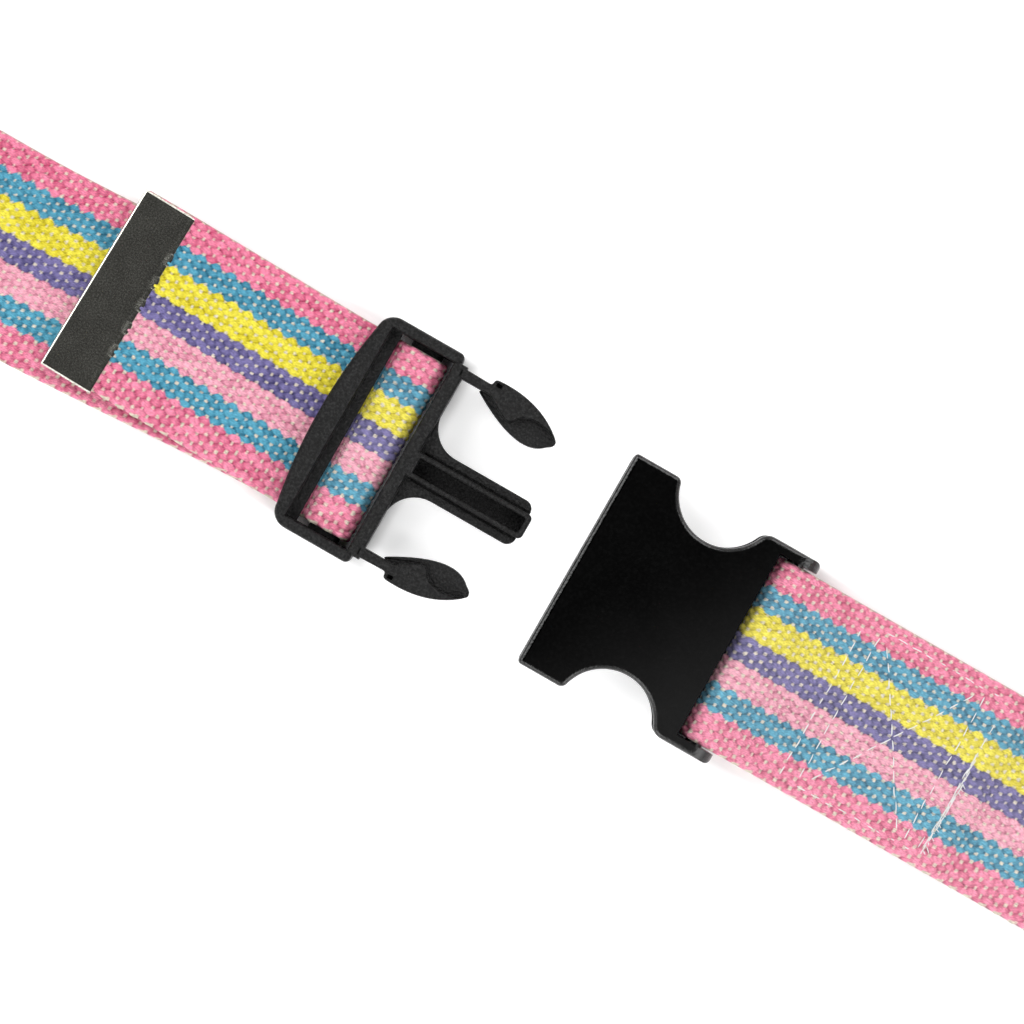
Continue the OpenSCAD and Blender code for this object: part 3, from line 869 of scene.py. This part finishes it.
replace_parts(female, "female_half")

# ---------------------------------------------------------------------------
# Metal tip: a strip of nickel-plated steel folded over the tail's end. Its free edge is
# pinched down in five crimps, and its ends are bent in over the strap's edges.
# ---------------------------------------------------------------------------
tip_len = 14.4
tip_half_w = 25.3
tip_half_h = 1.6
sheet_t = 0.4
fold_r = 0.75
crimps = 5
crimp_pitch = 6.6
crimp_half = 1.7
tip_askew = -1.6      # degrees


def nickel():
    """Worn bright nickel plate: fine specks and faint streaks in its gloss and colour."""
    material, tree, shader = finish("nickel plate", 0.3, Metallic=1.0)
    where = node(tree, "ShaderNodeTexCoord").outputs["Object"]
    speckle = node(tree, "ShaderNodeTexNoise", [(where, "Vector")], Scale=2300.0, Detail=3.0,
                   Roughness=0.7)
    cloud = node(tree, "ShaderNodeTexNoise", [(where, "Vector")], Scale=160.0, Detail=3.0)
    tone = node(tree, "ShaderNodeValToRGB", [(speckle.outputs[0], 0)])
    tone.color_ramp.elements[0].position = 0.4
    tone.color_ramp.elements[0].color = (0.36, 0.36, 0.31, 1)
    tone.color_ramp.elements[1].position = 0.66
    tone.color_ramp.elements[1].color = (0.80, 0.79, 0.72, 1)
    tree.links.new(tone.outputs[0], shader.inputs["Base Color"])
    tree.links.new(ranged(tree, cloud.outputs[0], 0, 1, 0.2, 0.26), shader.inputs["Roughness"])
    bumped(tree, shader, speckle.outputs[0], 0.25, 0.00004)
    return material


def folded_strip():
    """The strip's section swept across the strap. Outside: top plate, a fold with two round
    corners, bottom plate; inside: the same, a sheet's thickness in. The free edge droops, most
    at the crimps, where it also bulges; both ends droop over the last millimetre."""
    r = tip_half_h
    top = np.stack([np.linspace(tip_len, fold_r, 34), np.full(34, r)], axis=1)
    fold = np.concatenate([turn_round(fold_r, r - fold_r, fold_r, 90, 180, 11)[1:],
                           turn_round(fold_r, fold_r - r, fold_r, 180, 270, 11)[:-1]])
    under = np.stack([np.linspace(fold_r, tip_len - 0.6, 12), np.full(12, -r)], axis=1)
    outer_side = np.concatenate([top, fold, under])
    travel = np.gradient(outer_side, axis=0)
    travel /= np.linalg.norm(travel, axis=1, keepdims=True)
    inward = np.stack([-travel[:, 1], travel[:, 0]], axis=1)
    section = np.concatenate([outer_side, (outer_side + inward * sheet_t)[::-1]])
    y = np.linspace(-tip_half_w, tip_half_w, 240)
    sx, yy = np.meshgrid(section[:, 0], y)
    sz = np.tile(section[:, 1], (len(y), 1))
    is_top = (sz > 0) & (sx > r)
    near_edge = smooth(tip_len - 2.2, tip_len, sx) * is_top
    pinch = np.zeros_like(yy)
    for n in range(crimps):
        away = (yy - (n - (crimps - 1) / 2) * crimp_pitch) / crimp_half
        pinch += np.sqrt(np.maximum(1 - away * away, 0))
    x = sx + 0.4 * pinch * near_edge
    z = sz - (0.3 + 0.28 * pinch) * near_edge
    bent_end = smooth(tip_half_w - 0.45, tip_half_w, np.abs(yy))
    z -= np.where(sz > 0, 0.5, -0.15) * bent_end
    tilt = math.radians(tip_askew)
    px = tip_x + x * math.cos(tilt) - yy * math.sin(tilt)
    py = front_y + 0.9 + x * math.sin(tilt) + yy * math.cos(tilt)
    return np.stack([px, py, z + tail_mid], axis=-1)


tip = shell("tail_tip_plate", folded_strip())
trim(tip, nickel(), 40)
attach(tip, "tail")
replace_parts(tip, "tail_tip")

# ---------------------------------------------------------------------------
# Sewing: white lockstitch through both layers, a row by the web bar, a box with two
# diagonals, and a bar-tack beyond it. Each stitch rises from the cloth and dips back in.
# ---------------------------------------------------------------------------
stitch_z = double_z + strap_t / 2
row_x = web_x + 22.5
box_x = (web_x + 27.3, web_x + 57.3)
tack_x = web_x + 62.8
box_half = 22.0
stitch_len = 2.9
stitch_pitch = 4.0


def thread_finish():
    """White sewing thread: a little sheen, with its twist as a very fine uneven bump."""
    material, tree, shader = finish("white thread", 0.6, Sheen_Weight=0.2)
    shader.inputs["Base Color"].default_value = (0.62, 0.63, 0.62, 1)
    where = node(tree, "ShaderNodeTexCoord").outputs["Object"]
    twist = node(tree, "ShaderNodeTexNoise", [(where, "Vector")], Scale=3000.0, Detail=2.0)
    bumped(tree, shader, twist.outputs[0], 0.5, 0.0001)
    return material


def seam(p, q, pitch=stitch_pitch, length=stitch_len):
    """Starts and ends of the stitches along a straight seam, evenly shared along it."""
    p, q = np.array(p, float), np.array(q, float)
    run = np.linalg.norm(q - p)
    count = int(round(run / pitch))
    middle = p + (q - p) * ((np.arange(count) + 0.5) / count)[:, None]
    reach = (q - p) / run * length / 2
    return np.stack([middle - reach, middle + reach], axis=1)


def sewn(name, stitches, radius, proud, seed):
    """All stitches of one seam in one mesh. Along a stitch the thread's height is a flat-topped
    hump, its radius thins at both ends, and each stitch strays a little and is pulled down by
    up to 0.25 mm, by fixed specks. Proud is one height for all stitches, or one for each."""
    n = len(stitches)
    k = np.arange(n)
    jitter = np.stack([speck(k, c, seed) - 0.5 for c in range(1, 5)], axis=1).reshape(n, 2, 2)
    ends = stitches + 0.35 * jitter
    t = np.linspace(0, 1, 9)
    rise = 1 - (2 * t - 1) ** 6
    thin = 0.35 + 0.65 * (1 - (2 * t - 1) ** 4)
    centre = ends[:, :1] + (ends[:, 1:] - ends[:, :1]) * t[None, :, None]
    travel = ends[:, 1] - ends[:, 0]
    travel /= np.linalg.norm(travel, axis=1, keepdims=True)
    across = np.stack([-travel[:, 1], travel[:, 0]], axis=1)
    a = np.arange(6) * math.pi / 3
    r = radius * (0.85 + 0.3 * speck(k, 9, seed))[:, None, None] * thin[None, :, None]
    bow = (0.25 * (speck(k, 7, seed) - 0.5))[:, None] * np.sin(np.pi * t)[None, :]
    pulled = (proud - 0.25 * speck(k, 8, seed))[:, None]
    lift = stitch_z - 0.5 + (0.5 + pulled) * rise
    xy = (centre[:, :, None, :] + across[:, None, None, :]
          * (bow[:, :, None] + r * np.cos(a))[..., None])
    z = lift[:, :, None] + r * np.sin(a)
    points = np.concatenate([xy + np.array([0, front_y]), z[..., None]], axis=-1)
    rows, ring = len(t), len(a)
    i, j = np.meshgrid(np.arange(rows - 1), np.arange(ring), indexing="ij")
    m = (j + 1) % ring
    quads = np.stack([i * ring + j, i * ring + m, (i + 1) * ring + m, (i + 1) * ring + j],
                     axis=-1).reshape(-1, 4)
    cap_a = np.arange(ring)[::-1]
    cap_b = (rows - 1) * ring + np.arange(ring)
    base = k * rows * ring
    faces = (quads[None] + base[:, None, None]).reshape(-1, 4).tolist()
    faces += (cap_a[None] + base[:, None]).tolist()
    faces += (cap_b[None] + base[:, None]).tolist()
    obj = mesh_object(name, points, faces)
    obj.data.polygons.foreach_set("use_smooth", np.ones(len(faces), bool))
    obj.data.materials.append(thread)
    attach(obj, "sewn_end")
    return obj


thread = thread_finish()
inset = 2.5
sides = [seam((box_x[0], y), (tack_x - 1.5, y)) for y in (-box_half, box_half)]
across = [seam((x, 1.2 - box_half), (x, box_half - 1.2)) for x in box_x]
box = np.concatenate(sides + across)
box_proud = np.repeat([-0.14, 0.06], [sum(map(len, sides)), sum(map(len, across))])
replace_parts(sewn("box_seam", box, 0.14, box_proud, 3.0), "box_stitching")
cross = np.concatenate([seam((box_x[0] + inset, s * (box_half - inset)),
                             (box_x[1] - inset, -s * (box_half - inset))) for s in (-1, 1)])
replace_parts(sewn("cross_seam", cross, 0.14, 0.12, 4.0), "cross_stitching")
row = seam((row_x, 3 - strap_w / 2), (row_x, strap_w / 2 - 5))
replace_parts(sewn("row_seam", row, 0.14, 0.06, 5.0), "row_stitching")
# The bar-tack's passes: distance beside its line, from and to across the strap
passes = [(0.0, -22.0, 16.0), (0.3, -15.0, 6.0), (-0.25, -20.0, 7.0), (0.12, -18.5, 4.0),
          (0.4, -14.0, -6.0), (-1.3, -21.5, -16.0)]
tack = np.concatenate([seam((tack_x + beside, start), (tack_x + beside, end), 3.8, 3.2)
                       for beside, start, end in passes])
# Loose thread ends that stand off its lower part
fray = np.arange(16)
fray_y = -20.5 + 1.3 * fray
fray_x = tack_x + 0.5 * speck(fray, 3, 7.0) - 0.2
out_x = tack_x + 0.4 + 1.3 * speck(fray, 1, 7.0)
out_y = fray_y - 1.6 * speck(fray, 2, 7.0)
frays = np.stack([np.stack([fray_x, fray_y], axis=1), np.stack([out_x, out_y], axis=1)], axis=1)
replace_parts(sewn("bar_tack_seam", np.concatenate([tack, frays]), 0.12, 0.12, 6.0), "bar_tack")

# ---------------------------------------------------------------------------
# Table and light: a plain white sweep, four broad soft lights low round the belt, and a sky
# that is white at the horizon and dark overhead, so that gloss and metal stay deep.
# ---------------------------------------------------------------------------
scene = bpy.context.scene
scene.view_settings.view_transform = "Standard"
floor_half = 4000
corners = np.array([[-1, -1, 0], [1, -1, 0], [1, 1, 0], [-1, 1, 0]])
floor = mesh_object("floor", floor_half * corners, [(0, 1, 2, 3)])
floor_finish, floor_tree, floor_shader = finish("white table", 0.9, Specular_IOR_Level=0.1)
floor_shader.inputs["Base Color"].default_value = (0.93, 0.93, 0.93, 1)
floor_shader.inputs["Emission Color"].default_value = (1, 1, 1, 1)
# A faint glow of its own, except in the belt's shade: everywhere beyond the strap's edges, and
# between the edges over the open length from the male half's root to the female half's window
open_middle = (root_x + mouth_x + plate_end) / 2 * MM
open_half = (mouth_x + plate_end - root_x) / 2
place = node(floor_tree, "ShaderNodeTexCoord").outputs["Object"]
from_middle = node(floor_tree, "ShaderNodeVectorMath", [(place, 0)], operation="SUBTRACT")
from_middle.inputs[1].default_value = (open_middle, front_y * MM, 0)
distance = node(floor_tree, "ShaderNodeVectorMath", [(from_middle.outputs[0], 0)],
                operation="ABSOLUTE")
apart = node(floor_tree, "ShaderNodeSeparateXYZ", [(distance.outputs[0], 0)])
beyond_edge = ranged(floor_tree, apart.outputs["Y"], 0.027, 0.031)
in_the_open = ranged(floor_tree, apart.outputs["X"], open_half * MM, (open_half - 3) * MM)
lit = node(floor_tree, "ShaderNodeMath", [(beyond_edge, 0), (in_the_open, 1)],
           operation="MAXIMUM")
glow = node(floor_tree, "ShaderNodeMath", [(lit.outputs[0], 0)], operation="MULTIPLY")
glow.inputs[1].default_value = 0.36
floor_tree.links.new(glow.outputs[0], floor_shader.inputs["Emission Strength"])
floor.data.materials.append(floor_finish)

reach = 1.4
for n in range(4):
    turn = math.radians(view_turn + 45 + 90 * n)
    light = bpy.data.lights.new(f"soft_light_{n + 1}", "AREA")
    light.shape = "SQUARE"
    light.size = 1.1
    light.energy = 15.0 if n != 1 else 19.0
    lamp = bpy.data.objects.new(light.name, light)
    lamp.location = (reach * math.cos(turn), front_y * MM + reach * math.sin(turn), 0.95)
    lamp.rotation_euler = (math.radians(56), 0, turn + math.pi / 2)
    bpy.context.collection.objects.link(lamp)

world = bpy.data.worlds.new("sky")
scene.world = world
world.use_nodes = True
sky = world.node_tree
direction = node(sky, "ShaderNodeTexCoord").outputs["Generated"]
split = node(sky, "ShaderNodeSeparateXYZ", [(direction, 0)])
sky_ramp = node(sky, "ShaderNodeValToRGB", [(split.outputs["Z"], 0)])
sky_ramp.color_ramp.elements[0].position = 0.62
sky_ramp.color_ramp.elements[0].color = (0.95, 0.95, 0.95, 1)
sky_ramp.color_ramp.elements[1].position = 0.9
sky_ramp.color_ramp.elements[1].color = (0.03, 0.03, 0.03, 1)
sky.links.new(sky_ramp.outputs[0], sky.nodes["Background"].inputs["Color"])
